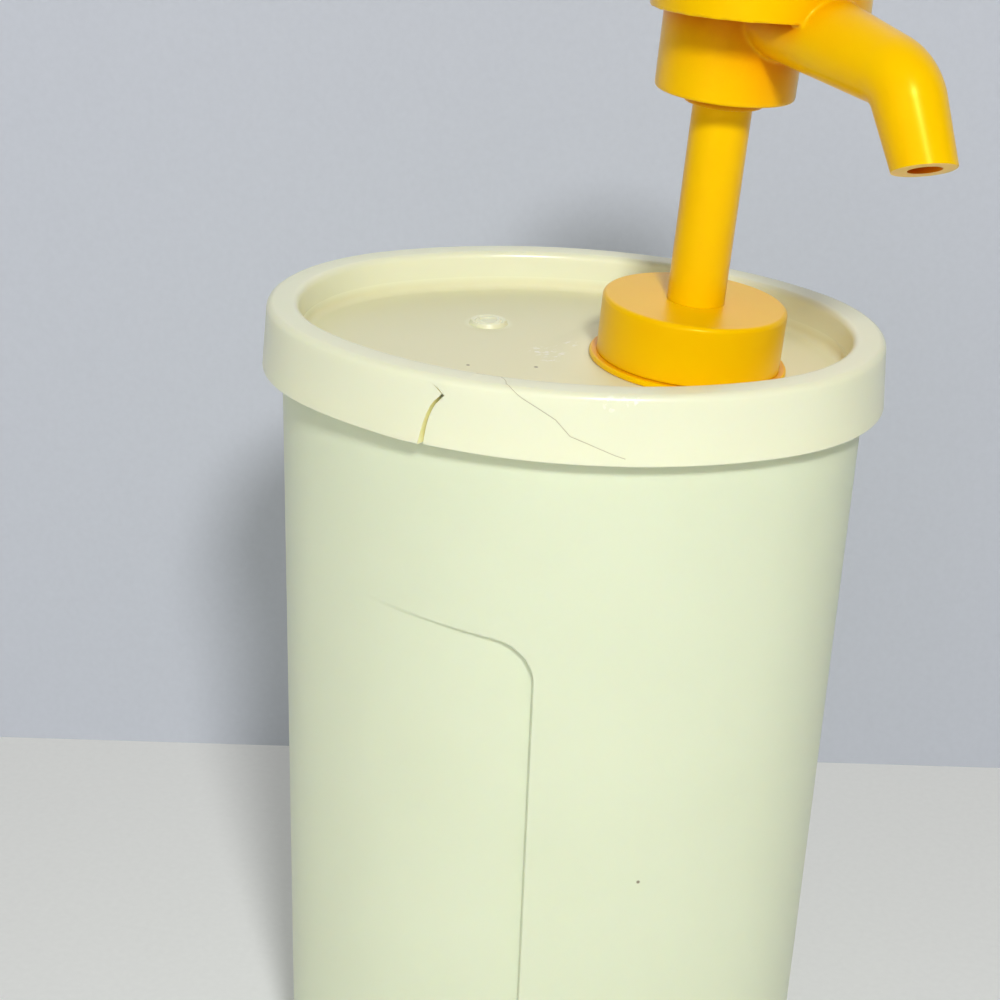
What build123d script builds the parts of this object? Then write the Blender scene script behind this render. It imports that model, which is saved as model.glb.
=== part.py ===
from build123d import *
from math import atan, cos, degrees, radians, sin, sqrt, tan
import os

# Syrup dispenser: an oval food-plastic cup with side grips, a press-on lid with a sunk tray,
# and a plunger pump that stands near one end of the lid.
# Millimetres. Origin at the centre of the cup's resting face, +Z up, +X to the pump's end.

# ---------------------------------------------------------------- cup
cup_height = 160.0
cup_half_length = 50.7  # outside of the wall at the rim
cup_half_width = 39.2
cup_end_radius = 32.7
cup_draft = 0.0164  # growth of the half sizes per millimetre of height
cup_wall = 2.0
cup_floor = 2.4
foot_round = 1.5
bead_width = 1.1  # snap bead round the rim
bead_height = 6.6
bead_round = 0.7
foot_width = 5.0
foot_relief = 1.0
gate_pad_radius = 9.0

# ---------------------------------------------------------------- side grips
grip_front = 3.0  # X of the step that the fingers meet
grip_fade = -28.0  # X where the sunk face meets the wall again
grip_depth = 1.8
grip_bow = 5.87  # the sunk face is bowed by a radius this much less than the wall's
grip_top = 116.4  # at the step, from where it rises towards the faded end
grip_rise = 0.1
grip_corner = 7.0

# ---------------------------------------------------------------- lid
lid_height = 11.5
lid_gap = 0.2  # between the cup's bead and the skirt, and over the rim
plug_gap = 0.25  # between the cup's inside and the tray wall
skirt_wall = 1.2
skirt_flare = 0.8
snap_height = 1.6
snap_low = 0.8
snap_gap = 0.12
tray_depth = 6.9
tray_wall = 1.3
tray_flare = 0.65
rim_outer_round = 1.3
rim_inner_round = 1.4
tray_corner = 1.0
panel_thickness = 1.5
lid_top_wall = 1.7
nub_place = (-17.0, 10.5)
nub_radius = 3.5
nub_height = 0.7
nub_slope = 30.0

# ---------------------------------------------------------------- pump, sizes along its own axis
# The axis leans towards the pump's end of the lid. Heights are from the seat on the tray.
pump_x = 20.1
pump_lean = 3.4
seat_pad_radius = 17.4
seat_pad_depth = 2.6
hole_gap = 0.2
slide_gap = 0.05  # running fits round the rod
piston_gap = 0.25
seal_gap = 0.05
assembly_gap = 0.15

flange_radius = 16.9
flange_thickness = 1.1
neck_radius = 12.9
neck_wall = 1.5
neck_height = 8.6
thread_depth = 0.4
thread_width = 1.0
thread_pitch = 2.6
thread_start = 2.4
thread_turns = 2
flange_round = 0.44
shank_radius = 11.8
shank_length = 10.0
barrel_bore = 9.0
barrel_wall = 1.4
barrel_top = 2.0
barrel_floor = 1.6
stroke = 33.0

gasket_thickness = 1.0
nut_radius = 15.6
nut_thickness = 5.0
nut_lugs = 6
nut_lug_width = 3.0
nut_lug_out = 1.2

collar_radius = 15.7
collar_low_gap = 0.1
collar_height = 10.1
collar_top_wall = 1.4
collar_round = 0.8

rod_radius = 4.9
rod_bore = 3.4
guide_plug = 4.2
guide_flange_radius = 11.2
guide_flange = 1.5
guide_hub_radius = 7.5
wiper_thickness = 0.9
wiper_radius = 8.0

# ---------------------------------------------------------------- head
stop_gap = 0.6  # left between the head's socket and the collar at the end of the stroke
socket_radius = 6.5
socket_depth = 12.0
socket_proud = 1.8
head_radius = 11.5
head_wall = 1.6
head_hollow = 10.8
head_skirt = 13.8
plate_height = 10.4
plate_radius = 17.4
plate_shift = 5.6
plate_tilt = 4.2  # the plate rises towards the spout
plate_wall = 1.8
plate_relief = 5.0
plate_root = 0.6
plate_round = 2.6
spout_turn = -43.0  # the head is left turned this far from the pump's end
spout_rise = 2.3  # from the plate's underside to the spout's centre line at the pump's axis
spout_slope = 7.5
spout_straight = 35.1
spout_bend = 7.4
spout_end_tilt = 31.0  # of the tip, from the pump's axis
spout_tip = 10.5
spout_root_radius = 7.45
spout_elbow_radius = 5.6
spout_tip_radius = 4.9
spout_bore = 2.6

# ---------------------------------------------------------------- piston, valves and dip tube
piston_top = -4.0
piston_length = 12.0
piston_socket = 8.5
seal_length = 5.0
seal_low = 2.2
seal_wall = 1.6
lip_groove = 0.55
lip_depth = 2.75
seat_hole = 2.2
discharge_ball_radius = 2.9
discharge_lift = 1.3
cage_thickness = 1.4
cage_slot = 1.5
cage_slots = 3
cage_hub = 1.2
inlet_hole = 2.5
inlet_ball_radius = 3.2
inlet_lift = 1.6
inlet_cage_wall = 1.3
inlet_cage_roof = 1.5
inlet_window = 3.4
inlet_windows = 4
inlet_cage_hole = 2.2
ball_gap = 0.1
spring_wire = 1.1
spring_radius = 6.6
spring_turns = 6
spring_gap = 0.2
spring_room = 9.6  # left for the closed spring at the end of the stroke
tube_radius = 4.0
tube_wall = 1.0
tube_socket_length = 12.0
tube_socket_wall = 1.8
tube_floor_gap = 4.0

# ---------------------------------------------------------------- derived planes and levels
lid_base = cup_height + lid_gap + lid_top_wall - lid_height
panel_top = lid_base + lid_height - tray_depth
lean = radians(pump_lean)
seat = Plane(
    origin=(pump_x, 0, panel_top),
    x_dir=(cos(lean), 0, -sin(lean)),
    z_dir=(sin(lean), 0, cos(lean)),
)
pump_axis = Axis(seat.origin, seat.z_dir)
section = Plane(origin=seat.origin, x_dir=seat.x_dir, z_dir=-seat.y_dir)
spout_direction = seat.x_dir * cos(radians(spout_turn)) + seat.y_dir * sin(radians(spout_turn))
spout_side = Plane(origin=seat.origin, x_dir=spout_direction, z_dir=spout_direction.cross(seat.z_dir))
collar_low = flange_thickness + collar_low_gap
collar_top = collar_low + collar_height
socket_bottom = collar_top + stroke + stop_gap
head_bottom = socket_bottom + socket_proud
head_roof = head_bottom + head_hollow
plate_bottom = head_bottom + head_skirt
spout_start = plate_bottom + spout_rise
rod_bottom = piston_top - piston_socket
rod_top = socket_bottom + socket_depth - assembly_gap
piston_bottom = piston_top - piston_length
discharge_seat = rod_bottom + discharge_ball_radius * (sqrt(2) - 1) + ball_gap
inlet_rest = inlet_ball_radius * (sqrt(2) - 1) + ball_gap  # ball's centre above the barrel's floor
inlet_cage_inside = inlet_rest + inlet_ball_radius + inlet_lift + ball_gap
cage_top = piston_bottom - stroke - spring_room
cage_roof = cage_top - inlet_cage_roof
barrel_inside = cage_roof - inlet_cage_inside
barrel_bottom = barrel_inside - barrel_floor
end_centre = cup_half_length - cup_end_radius
cup_side_radius = (end_centre**2 + cup_half_width**2 - cup_end_radius**2) / (
    2 * (cup_half_width - cup_end_radius)
)
side_centre = cup_side_radius - cup_half_width
grip_radius = cup_side_radius - grip_bow


def wall_growth(height):
    """Growth of the outline at a height, against the outline at the rim."""
    return (height - cup_height) * cup_draft


def oval(growth):
    """The cup's outline of four tangent arcs, offset outwards by growth."""
    length = cup_half_length + growth
    width = cup_half_width + growth
    share = (cup_end_radius + growth) / (cup_side_radius - cup_end_radius)
    join_x = end_centre * (1 + share)
    join_y = side_centre * share
    with BuildSketch() as outline:
        with BuildLine():
            ThreePointArc((join_x, join_y), (0, width), (-join_x, join_y))
            ThreePointArc((-join_x, join_y), (-length, 0), (-join_x, -join_y))
            ThreePointArc((-join_x, -join_y), (0, -width), (join_x, -join_y))
            ThreePointArc((join_x, -join_y), (length, 0), (join_x, join_y))
        make_face()
    return outline.sketch


def band(inner, outer, low, high, mode=Mode.ADD):
    """A rectangle of the pump's half section, from one radius to another."""
    with Locations((inner, low)):
        Rectangle(outer - inner, high - low, align=(Align.MIN, Align.MIN), mode=mode)


def grip_hollow(wall, low, edge_round=0):
    """What the grips take from the cup above a level, or with a wall, from its inside."""
    fade_y = sqrt(cup_side_radius**2 - grip_fade**2) - side_centre
    step_y = sqrt(cup_side_radius**2 - grip_front**2) - side_centre - grip_depth
    run_x, run_y = grip_front - grip_fade, step_y - fade_y
    chord = sqrt(run_x**2 + run_y**2)
    rise = sqrt(grip_radius**2 - (chord / 2) ** 2)
    arc_x = (grip_front + grip_fade) / 2 + rise * run_y / chord
    arc_y = (step_y + fade_y) / 2 - rise * run_x / chord
    reach = 2 * cup_half_width
    with BuildPart() as core:
        with BuildSketch(Plane.XY.offset(low)):
            with Locations((arc_x, arc_y)):
                Circle(grip_radius + wall_growth(low) - wall)
            with Locations((arc_x, -arc_y)):
                Circle(grip_radius + wall_growth(low) - wall, mode=Mode.INTERSECT)
        extrude(amount=cup_height, taper=-degrees(atan(cup_draft)))
        if edge_round:
            fillet(core.faces().sort_by(Axis.Z)[0].edges(), edge_round)
    with BuildPart() as hollow:
        with BuildSketch(Plane.XZ):
            front = grip_front + wall
            back = grip_fade - 2 * grip_corner
            top = grip_top + wall
            back_top = top + (front - back) * grip_rise
            under = low - grip_corner
            Polygon((front, under), (front, top), (back, back_top), (back, under), align=None)
            corner = vertices().sort_by(Axis.X)[-2:].sort_by(Axis.Y)[-1]
            fillet(corner, grip_corner + wall)
        extrude(amount=reach, both=True)
        add(core.part, mode=Mode.SUBTRACT)
    return hollow.part


# ================================================================ cup
with BuildPart() as cavity:
    with BuildSketch(Plane.XY.offset(cup_floor)):
        add(oval(wall_growth(cup_floor) - cup_wall))
    extrude(amount=cup_height, taper=-degrees(atan(cup_draft)))
    add(grip_hollow(cup_wall, cup_floor), mode=Mode.SUBTRACT)

with BuildPart() as cup:
    with BuildSketch():
        add(oval(wall_growth(0)))
    extrude(amount=cup_height, taper=-degrees(atan(cup_draft)))
    fillet(cup.faces().sort_by(Axis.Z)[0].edges(), foot_round)
    add(grip_hollow(0, 0, foot_round), mode=Mode.SUBTRACT)
    with BuildSketch(Plane.XY.offset(cup_height - bead_height)):
        add(oval(bead_width))
        add(oval(wall_growth(cup_height - bead_height) - cup_wall / 2), mode=Mode.SUBTRACT)
    extrude(amount=bead_height)
    fillet(cup.edges().group_by(Axis.Z)[-1], bead_round)
    add(cavity.part, mode=Mode.SUBTRACT)
    with BuildSketch():
        add(oval(wall_growth(0) - foot_width))
        Circle(gate_pad_radius, mode=Mode.SUBTRACT)
    extrude(amount=foot_relief, mode=Mode.SUBTRACT)
cup.part.label = "cup"

# ================================================================ lid
skirt_top = lid_gap + bead_width + skirt_wall
skirt_bottom = skirt_top + skirt_flare
tray_edge = -cup_wall - plug_gap - tray_wall
with BuildPart() as lid:
    with BuildSketch(Plane.XY.offset(lid_base)):
        add(oval(skirt_bottom))
    extrude(amount=lid_height, taper=degrees(atan(skirt_flare / lid_height)))
    fillet(lid.faces().sort_by(Axis.Z)[-1].edges(), rim_outer_round)
    with BuildSketch(Plane.XY.offset(panel_top)):
        add(oval(tray_edge))
    extrude(amount=tray_depth, taper=-degrees(atan(tray_flare / tray_depth)), mode=Mode.SUBTRACT)
    tray_rim = lid.faces().filter_by(Axis.Z).sort_by(Axis.Z)[-1]
    fillet(tray_rim.inner_wires()[0].edges(), rim_inner_round)
    tray_floor = lid.faces().filter_by(Axis.Z).filter_by(lambda f: abs(f.center().Z - panel_top) < 0.01)
    fillet(tray_floor.edges(), tray_corner)
    with BuildSketch(Plane.XY.offset(lid_base)):
        add(oval(bead_width + lid_gap))
    extrude(amount=panel_top - panel_thickness - lid_base, mode=Mode.SUBTRACT)
    with BuildSketch(Plane.XY.offset(panel_top - panel_thickness)):
        add(oval(bead_width + lid_gap))
        add(oval(-cup_wall - plug_gap), mode=Mode.SUBTRACT)
    extrude(amount=cup_height + lid_gap - panel_top + panel_thickness, mode=Mode.SUBTRACT)
    with BuildSketch(Plane.XY.offset(lid_base + snap_low)):
        add(oval(bead_width + lid_gap + skirt_wall / 2))
        add(oval(bead_width + snap_gap), mode=Mode.SUBTRACT)
    extrude(amount=snap_height)
    with BuildSketch(seat.offset(-seat_pad_depth)):
        Circle(seat_pad_radius)
    extrude(amount=seat_pad_depth)
    with BuildSketch(seat):
        Circle(seat_pad_radius)
    extrude(amount=tray_depth / 2, mode=Mode.SUBTRACT)
    with BuildSketch(seat.offset(-seat_pad_depth)):
        Circle(shank_radius + hole_gap)
    extrude(amount=seat_pad_depth, mode=Mode.SUBTRACT)
    with BuildSketch(Plane.XY.offset(panel_top)):
        with Locations(nub_place):
            Circle(nub_radius)
    extrude(amount=nub_height, taper=nub_slope)
lid.part.label = "lid"

# ================================================================ pump body and its clamp
barrel_radius = barrel_bore + barrel_wall
with BuildPart() as pump_body:
    with BuildSketch(section):
        band(barrel_bore, flange_radius, 0, flange_thickness)
        band(neck_radius - neck_wall, neck_radius, 0, neck_height)
        band(barrel_bore, barrel_radius, barrel_bottom, barrel_top)
        band(barrel_bore, shank_radius - thread_depth, -shank_length, 0)
        band(inlet_hole, barrel_radius, barrel_bottom, barrel_bottom + barrel_floor)
        band(
            tube_radius + slide_gap,
            tube_radius + slide_gap + tube_socket_wall,
            barrel_bottom - tube_socket_length,
            barrel_bottom,
        )
        for turn in range(thread_turns):
            ridge = thread_start + turn * thread_pitch
            band(neck_radius - neck_wall, neck_radius + thread_depth, ridge, ridge + thread_width)
            ridge = -seat_pad_depth - gasket_thickness - thread_start - turn * thread_pitch
            band(barrel_bore, shank_radius, ridge, ridge + thread_width)
    revolve(axis=pump_axis)
    inlet_rim = pump_body.edges().filter_by(GeomType.CIRCLE).filter_by(
        lambda e: abs(e.radius - inlet_hole) < 0.01
    )
    chamfer(inlet_rim.sort_by(pump_axis)[-1], inlet_ball_radius - inlet_hole)
    flange_rim = pump_body.edges().filter_by(GeomType.CIRCLE).filter_by(
        lambda e: abs(e.radius - flange_radius) < 0.01
    )
    fillet(flange_rim, flange_round)
pump_body.part.label = "pump_body"

with BuildPart() as flange_gasket:
    with BuildSketch(section):
        band(shank_radius + assembly_gap, nut_radius, -seat_pad_depth - gasket_thickness, -seat_pad_depth)
    revolve(axis=pump_axis)
flange_gasket.part.label = "flange_gasket"

with BuildPart() as lock_nut:
    nut_top = -seat_pad_depth - gasket_thickness
    with BuildSketch(section):
        band(shank_radius + assembly_gap, nut_radius, nut_top - nut_thickness, nut_top)
    revolve(axis=pump_axis)
    with BuildSketch(seat.offset(nut_top - nut_thickness)):
        with PolarLocations(nut_radius, nut_lugs):
            Rectangle(2 * nut_lug_out, nut_lug_width)
    extrude(amount=nut_thickness - nut_lug_out)
lock_nut.part.label = "lock_nut"

# ================================================================ collar, rod guide and wiper
collar_inner = neck_radius + thread_depth + assembly_gap
with BuildPart() as collar:
    with BuildSketch(section):
        band(collar_inner, collar_radius, collar_low, collar_top)
        band(rod_radius + slide_gap, collar_radius, collar_top - collar_top_wall, collar_top)
        ridge = thread_start + thread_width + assembly_gap
        band(
            neck_radius + assembly_gap,
            collar_radius,
            ridge,
            thread_start + thread_pitch - assembly_gap,
        )
    revolve(axis=pump_axis)
    top_rim = collar.edges().filter_by(GeomType.CIRCLE).filter_by(
        lambda e: abs(e.radius - collar_radius) < 0.01
    )
    fillet(top_rim.sort_by(pump_axis)[-1], collar_round)
collar.part.label = "collar"

guide_top = collar_top - collar_top_wall - wiper_thickness
with BuildPart() as rod_guide:
    with BuildSketch(section):
        band(rod_radius + slide_gap, barrel_bore - seal_gap, barrel_top - guide_plug, barrel_top)
        band(rod_radius + slide_gap, guide_flange_radius, barrel_top, barrel_top + guide_flange)
        band(rod_radius + slide_gap, guide_hub_radius, barrel_top, guide_top)
    revolve(axis=pump_axis)
rod_guide.part.label = "rod_guide"

with BuildPart() as rod_wiper:
    with BuildSketch(section):
        band(rod_radius + slide_gap, wiper_radius, guide_top, guide_top + wiper_thickness)
    revolve(axis=pump_axis)
rod_wiper.part.label = "rod_wiper"

# ================================================================ plunger
with BuildPart() as rod:
    with BuildSketch(section):
        band(rod_bore, rod_radius, rod_bottom, rod_top)
    revolve(axis=pump_axis)
rod.part.label = "rod"

seal_radius = barrel_bore - seal_gap
with BuildPart() as piston:
    with BuildSketch(section):
        band(rod_radius, barrel_bore - piston_gap, piston_bottom, piston_top)
        band(seat_hole, barrel_bore - piston_gap, piston_bottom, rod_bottom)
        band(
            seal_radius - seal_wall,
            seal_radius,
            piston_bottom + seal_low,
            piston_bottom + seal_low + seal_length,
            mode=Mode.SUBTRACT,
        )
    revolve(axis=pump_axis)
    seat_rim = piston.edges().filter_by(GeomType.CIRCLE).filter_by(
        lambda e: abs(e.radius - seat_hole) < 0.01
    )
    chamfer(seat_rim.sort_by(pump_axis)[-1], discharge_ball_radius - seat_hole)
piston.part.label = "piston"

with BuildPart() as piston_seal:
    seal_bottom = piston_bottom + seal_low
    with BuildSketch(section):
        band(seal_radius - seal_wall, seal_radius, seal_bottom, seal_bottom + seal_length)
        lip_middle = seal_radius - seal_wall / 2
        seal_top = seal_bottom + seal_length
        band(
            lip_middle - lip_groove / 2,
            lip_middle + lip_groove / 2,
            seal_top - lip_depth,
            seal_top,
            mode=Mode.SUBTRACT,
        )
    revolve(axis=pump_axis)
piston_seal.part.label = "piston_seal"

with BuildPart() as discharge_ball:
    with Locations(seat.offset(discharge_seat)):
        Sphere(discharge_ball_radius)
discharge_ball.part.label = "discharge_ball"

cage_low = discharge_seat + discharge_ball_radius + discharge_lift + ball_gap
with BuildPart() as discharge_cage:
    with BuildSketch(section):
        band(0, rod_bore - slide_gap, cage_low, cage_low + cage_thickness)
    revolve(axis=pump_axis)
    with BuildSketch(seat.offset(cage_low)):
        with PolarLocations(cage_hub, cage_slots):
            Rectangle(rod_bore, cage_slot, align=(Align.MIN, Align.CENTER))
    extrude(amount=cage_thickness, mode=Mode.SUBTRACT)
discharge_cage.part.label = "discharge_cage"

# ================================================================ inlet valve, spring and dip tube
with BuildPart() as inlet_ball:
    with Locations(seat.offset(barrel_inside + inlet_rest)):
        Sphere(inlet_ball_radius)
inlet_ball.part.label = "inlet_ball"

with BuildPart() as inlet_cage:
    with BuildSketch(section):
        band(
            barrel_bore - slide_gap - inlet_cage_wall,
            barrel_bore - slide_gap,
            barrel_inside,
            cage_top,
        )
        band(inlet_cage_hole, barrel_bore - slide_gap, cage_roof, cage_top)
    revolve(axis=pump_axis)
    with BuildSketch(seat.offset(cage_roof)):
        with PolarLocations((inlet_cage_hole + spring_radius) / 2, inlet_windows):
            Rectangle(spring_radius - inlet_cage_hole - spring_wire, inlet_window)
    extrude(amount=inlet_cage_roof, mode=Mode.SUBTRACT)
inlet_cage.part.label = "inlet_cage"

spring_low = cage_top + spring_gap + spring_wire / 2
spring_length = piston_bottom - spring_gap - spring_wire / 2 - spring_low
with BuildPart() as spring:
    with BuildLine():
        coil = Helix(
            pitch=spring_length / spring_turns,
            height=spring_length,
            radius=spring_radius,
            center=seat.offset(spring_low).origin,
            direction=seat.z_dir,
        )
    with BuildSketch(Plane(origin=coil @ 0, z_dir=coil % 0)):
        Circle(spring_wire / 2)
    sweep(path=coil, is_frenet=True)
spring.part.label = "spring"

tube_bottom = -(panel_top - tube_floor_gap - cup_floor) / cos(lean) + tube_radius * tan(lean)
with BuildPart() as dip_tube:
    with BuildSketch(section):
        band(tube_radius - tube_wall, tube_radius, tube_bottom, barrel_bottom - assembly_gap)
    revolve(axis=pump_axis)
dip_tube.part.label = "dip_tube"

# ================================================================ head
tilt = radians(plate_tilt)
plate_run = spout_direction * cos(tilt) + seat.z_dir * sin(tilt)
plate = Plane(
    origin=seat.origin + seat.z_dir * plate_bottom + plate_run * plate_shift,
    x_dir=plate_run,
    z_dir=seat.z_dir * cos(tilt) - spout_direction * sin(tilt),
)
slope = radians(spout_slope)
end_slope = radians(90 - spout_end_tilt)
corner_run = spout_bend * tan((end_slope - slope) / 2)
first_run = spout_straight + corner_run
last_run = spout_tip + corner_run
corner = (first_run * cos(slope), spout_start - first_run * sin(slope))
tip = (corner[0] + last_run * cos(end_slope), corner[1] - last_run * sin(end_slope))
with BuildLine(spout_side) as spout_path:
    FilletPolyline((0, spout_start), corner, tip, radius=spout_bend)
spout_last, spout_elbow, spout_first = spout_path.edges().sort_by(pump_axis)


def spout_run(root, elbow, last):
    """A tapered run, an even elbow and a tapered tip along the spout's path."""
    with BuildPart() as run:
        for edge, near, far in ((spout_first, root, elbow), (spout_last, elbow, last)):
            for share, radius in ((0, near), (1, far)):
                across = Plane(origin=edge @ share, x_dir=spout_side.z_dir, z_dir=edge % share)
                with BuildSketch(across):
                    Circle(radius)
            loft()
        with BuildSketch(Plane(origin=spout_elbow @ 0, x_dir=spout_side.z_dir, z_dir=spout_elbow % 0)):
            Circle(elbow)
        sweep(path=spout_elbow)
    return run.part


with BuildPart() as head:
    with BuildSketch(section):
        band(0, head_radius, head_bottom, plate_bottom + plate_wall)
        band(0, socket_radius, socket_bottom, head_bottom)
    revolve(axis=pump_axis)
    with BuildSketch(plate):
        Circle(plate_radius)
    extrude(amount=plate_height)
    plate_rim = head.edges().filter_by(GeomType.CIRCLE).filter_by(
        lambda e: abs(e.radius - plate_radius) < 0.01
    )
    fillet(plate_rim.sort_by(pump_axis)[-1], plate_round)
    with BuildSketch(plate):
        Circle(plate_radius - plate_wall)
        with Locations((-plate_shift, 0)):
            Circle(head_radius + plate_root, mode=Mode.SUBTRACT)
    extrude(amount=plate_relief, mode=Mode.SUBTRACT)
    add(spout_run(spout_root_radius, spout_elbow_radius, spout_tip_radius))
    with BuildSketch(section):
        band(socket_radius, head_radius - head_wall, head_bottom, head_roof)
    revolve(axis=pump_axis, mode=Mode.SUBTRACT)
    add(spout_run(spout_bore, spout_bore, spout_bore), mode=Mode.SUBTRACT)
    with BuildSketch(section):
        band(0, rod_radius + slide_gap, socket_bottom, socket_bottom + socket_depth)
        band(0, rod_bore, socket_bottom, spout_start)
    revolve(axis=pump_axis, mode=Mode.SUBTRACT)
head.part.label = "head"

pieces = (
    cup,
    lid,
    pump_body,
    flange_gasket,
    lock_nut,
    collar,
    rod_guide,
    rod_wiper,
    rod,
    head,
    piston,
    piston_seal,
    discharge_ball,
    discharge_cage,
    inlet_ball,
    inlet_cage,
    spring,
    dip_tube,
)
os.makedirs("parts", exist_ok=True)
for piece in pieces:
    export_step(piece.part, f"parts/{piece.part.label}.step")
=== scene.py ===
from math import acos, atan2, cos, pi, radians, sin, sqrt, tan

import bpy
from mathutils import Matrix, Vector


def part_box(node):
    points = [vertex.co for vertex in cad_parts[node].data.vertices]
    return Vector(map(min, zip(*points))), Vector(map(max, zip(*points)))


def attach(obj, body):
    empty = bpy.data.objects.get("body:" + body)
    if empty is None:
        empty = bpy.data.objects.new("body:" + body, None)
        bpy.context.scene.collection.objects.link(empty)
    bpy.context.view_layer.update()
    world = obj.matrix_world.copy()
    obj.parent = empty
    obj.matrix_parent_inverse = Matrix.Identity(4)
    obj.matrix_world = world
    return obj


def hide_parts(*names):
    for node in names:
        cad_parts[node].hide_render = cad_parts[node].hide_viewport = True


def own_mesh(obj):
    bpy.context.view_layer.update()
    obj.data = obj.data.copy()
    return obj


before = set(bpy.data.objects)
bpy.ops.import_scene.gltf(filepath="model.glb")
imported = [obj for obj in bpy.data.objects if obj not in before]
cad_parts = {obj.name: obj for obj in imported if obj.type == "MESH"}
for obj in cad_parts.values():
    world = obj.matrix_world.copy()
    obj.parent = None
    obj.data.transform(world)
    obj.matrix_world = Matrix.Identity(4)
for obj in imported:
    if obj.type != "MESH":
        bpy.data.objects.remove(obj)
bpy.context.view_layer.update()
bpy.ops.object.select_all(action="DESELECT")
mm = 0.001

# ---------------------------------------------------------------- camera
# A lens of about twice the picture's width in focal length, from a little above the lid,
# in front of the dispenser and to the pump's side of it, held about two degrees off level.
camera_place = Vector((55.24, -341.58, 268.95)) * mm
camera_sight = Vector((-0.1772, 0.9075, -0.3809)).normalized()
camera_roll = radians(2.4)
picture_side = 1000
focal_pixels = 2100

level_right = camera_sight.cross(Vector((0, 0, 1))).normalized()
level_up = level_right.cross(camera_sight)
camera_right = level_right * cos(camera_roll) + level_up * sin(camera_roll)
camera_up = level_up * cos(camera_roll) - level_right * sin(camera_roll)
bpy.ops.object.camera_add()
camera = bpy.context.object
camera.name = "camera"
camera.data.lens = camera.data.sensor_width * focal_pixels / picture_side
camera.matrix_world = Matrix.Translation(camera_place) @ Matrix(
    (camera_right, camera_up, -camera_sight)
).transposed().to_4x4()
bpy.context.scene.camera = camera
bpy.context.scene.view_settings.view_transform = "Standard"

# ---------------------------------------------------------------- floor and studio light
# A matt sheet of off-white board with an upright sheet of pale blue-grey board behind it, lit
# by one small soft lamp above the camera and a little to its right, by two broad weak lamps in
# front and behind, and by a pale surround that is dimmer on the right.
floor_reach = 900 * mm
floor_colour = "#F1F2F0"
backdrop_foot = Vector((0, 138, 0)) * mm
backdrop_turn = radians(12.3)
backdrop_colour = "#C9CDD6"
board_fibre = 1.5  # millimetres
board_mottle = 0.03  # share of the colour
lamp_aim = Vector((0, 0, 150)) * mm
lamps = (  # name, place and width in millimetres, power in watts
    ("key_lamp", (240, -690, 700), 130, 5.5),
    ("fill_lamp", (-260, -940, 420), 900, 1.4),
    ("back_lamp", (-150, 900, 560), 800, 2.6),
)
surround_colour = "#F7F8FA"
surround_left = 0.31  # strength
surround_right = 0.15
mirrored_share = 0.35  # of the surround's light that is seen in gloss
shown_strength = 0.75  # of the surround where it is seen past the floor


def paint(code):
    """A linear colour with alpha from an sRGB code such as #F0E0C0."""
    shares = [int(code[i : i + 2], 16) / 255 for i in (1, 3, 5)]
    return [s / 12.92 if s <= 0.04045 else ((s + 0.055) / 1.055) ** 2.4 for s in shares] + [1]


def new_material(name):
    """A material with no nodes yet."""
    material = bpy.data.materials.new(name)
    material.use_nodes = True
    material.node_tree.nodes.clear()
    return material


def add_node(material, kind, inputs=None, **settings):
    """Adds a node. inputs gives each socket, by name or number, a value or an output."""
    made = material.node_tree.nodes.new(kind)
    for name, value in settings.items():
        setattr(made, name, value)
    for socket, value in (inputs or {}).items():
        if isinstance(value, bpy.types.NodeSocket):
            material.node_tree.links.new(value, made.inputs[socket])
        else:
            made.inputs[socket].default_value = value
    return made


def board_material(name, colour):
    """Board: matt coated paper, whose fibres give a faint mottle."""
    board = new_material(name)
    place = add_node(board, "ShaderNodeTexCoord").outputs["Object"]
    fibres = add_node(
        board, "ShaderNodeTexNoise", {"Vector": place, "Scale": 1 / (board_fibre * mm)}
    )
    mottle = add_node(
        board,
        "ShaderNodeMapRange",
        {"Value": fibres.outputs[0], "To Min": 1 - board_mottle, "To Max": 1 + board_mottle},
    )
    tint = add_node(
        board,
        "ShaderNodeMix",
        {0: 1.0, 6: paint(colour), 7: mottle.outputs[0]},
        data_type="RGBA",
        blend_type="MULTIPLY",
    )
    finish = add_node(
        board, "ShaderNodeBsdfPrincipled", {"Base Color": tint.outputs[2], "Roughness": 0.9}
    )
    surface = add_node(board, "ShaderNodeOutputMaterial", {"Surface": finish.outputs[0]})
    return board, finish, surface


bpy.ops.mesh.primitive_plane_add(size=2 * floor_reach)
floor = bpy.context.object
floor.name = "floor"
floor.data.materials.append(board_material("floor_board", floor_colour)[0])

# The upright sheet shows to the camera, and in reflections, from its front only. From behind
# it is clear, so that the dispenser can be looked at from all round.
bpy.ops.mesh.primitive_plane_add(size=2 * floor_reach)
backdrop = bpy.context.object
backdrop.name = "backdrop"
backdrop.matrix_world = (
    Matrix.Translation(backdrop_foot + Vector((0, 0, floor_reach)))
    @ Matrix.Rotation(backdrop_turn, 4, "Z")
    @ Matrix.Rotation(pi / 2, 4, "X")
)
bpy.ops.object.transform_apply(location=True, rotation=True)
upright, upright_finish, upright_surface = board_material("backdrop_board", backdrop_colour)
rays = add_node(upright, "ShaderNodeLightPath").outputs
seen = 0.0
for ray in ("Is Camera Ray", "Is Glossy Ray", "Is Transmission Ray"):
    seen = add_node(
        upright, "ShaderNodeMath", {0: seen, 1: rays[ray]}, operation="ADD", use_clamp=True
    ).outputs[0]
from_behind = add_node(upright, "ShaderNodeNewGeometry").outputs["Backfacing"]
in_front = add_node(
    upright, "ShaderNodeMath", {0: seen, 1: from_behind}, operation="SUBTRACT", use_clamp=True
)
clear = add_node(upright, "ShaderNodeBsdfTransparent")
one_sided = add_node(
    upright,
    "ShaderNodeMixShader",
    {0: in_front.outputs[0], 1: clear.outputs[0], 2: upright_finish.outputs[0]},
)
upright.node_tree.links.new(one_sided.outputs[0], upright_surface.inputs["Surface"])
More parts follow.
